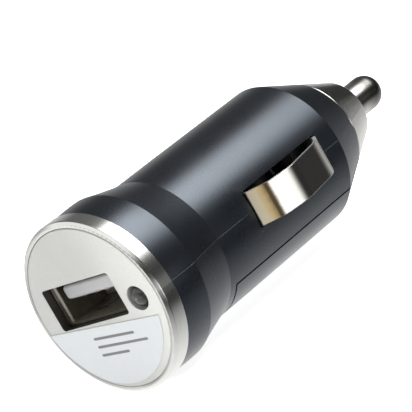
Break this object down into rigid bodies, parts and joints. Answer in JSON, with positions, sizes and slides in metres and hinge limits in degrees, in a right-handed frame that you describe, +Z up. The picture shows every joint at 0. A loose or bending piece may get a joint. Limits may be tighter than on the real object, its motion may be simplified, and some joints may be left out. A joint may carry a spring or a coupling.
{
  "type": "car usb charger",
  "caption": "Round plug-in car USB charger with a bright ringed USB face, sprung side contacts and a sprung centre pin.",
  "frame": {"origin": "on the plug's axis where the neck meets the barrel, as far as the plug enters a socket", "axes": "+Y along the plug's axis towards the centre pin, X along the USB port's long side, +Z up with the port's tongue uppermost"},
  "size_m": [0.0282, 0.0597, 0.0238],
  "materials": {
    "black_plastic": "fine-grained satin moulding",
    "bright_plating": "mirror plated",
    "satin_silver": "satin silver lacquer",
    "white_label": "smooth white film, unprinted",
    "satin_nickel": "turned satin nickel",
    "bright_nickel": "bright nickel plate",
    "spring_steel": "drawn spring wire",
    "brass": "stamped brass",
    "tinned_steel": "tin plated",
    "white_plastic": "smooth white moulding",
    "gilt_brass": "gilt contact plating",
    "lamp_resin": "smoked clear resin",
    "board_green": "green solder mask",
    "can_aluminium": "drawn can",
    "ferrite": "sintered, dull",
    "copper_wire": "enamelled winding wire",
    "chip_resin": "moulded epoxy",
    "ceramic_tan": "fired ceramic",
    "wire_sleeve": "thin flexible sleeve"
  },
  "bodies": {
    "housing": {"shell_upper": "black_plastic", "shell_lower": "black_plastic", "bezel_ring": "bright_plating", "face_plate": "satin_silver", "rating_label": "white_label", "nose_cone": "satin_nickel", "pin_spring": "spring_steel", "tip_terminal": "brass", "usb_shell": "tinned_steel", "usb_tongue": "white_plastic", "usb_contacts": "gilt_brass", "led_lamp": "lamp_resin", "led_leads": "tinned_steel", "circuit_board": "board_green", "output_capacitor": "can_aluminium", "input_capacitor": "can_aluminium", "inductor_core": "ferrite", "inductor_winding": "copper_wire", "controller_chip": "chip_resin", "chip_leads": "tinned_steel", "rectifier_diode": "chip_resin", "chip_resistors": "chip_resin", "chip_capacitors": "ceramic_tan", "ground_lead_left": "wire_sleeve", "ground_lead_right": "wire_sleeve"},
    "tip_pin": {"centre_pin": "bright_nickel"},
    "left_contact": {"side_contact_left": "bright_nickel"},
    "right_contact": {"side_contact_right": "bright_nickel"}
  },
  "joints": [
    {"name": "pin_press", "type": "slide", "parent": "housing", "child": "tip_pin", "axis": [0, -1, 0], "range_m": [0, 0.0024], "stiffness_N_per_m": 600, "deforming": ["pin_spring"]},
    {"name": "contact_left_press", "type": "slide", "parent": "housing", "child": "left_contact", "axis": [1, 0, 0], "range_m": [0, 0.00419], "stiffness_N_per_m": 1500, "deforming": ["ground_lead_left"]},
    {"name": "contact_right_press", "type": "slide", "parent": "housing", "child": "right_contact", "axis": [-1, 0, 0], "range_m": [0, 0.00419], "stiffness_N_per_m": 1500, "deforming": ["ground_lead_right"]}
  ]
}
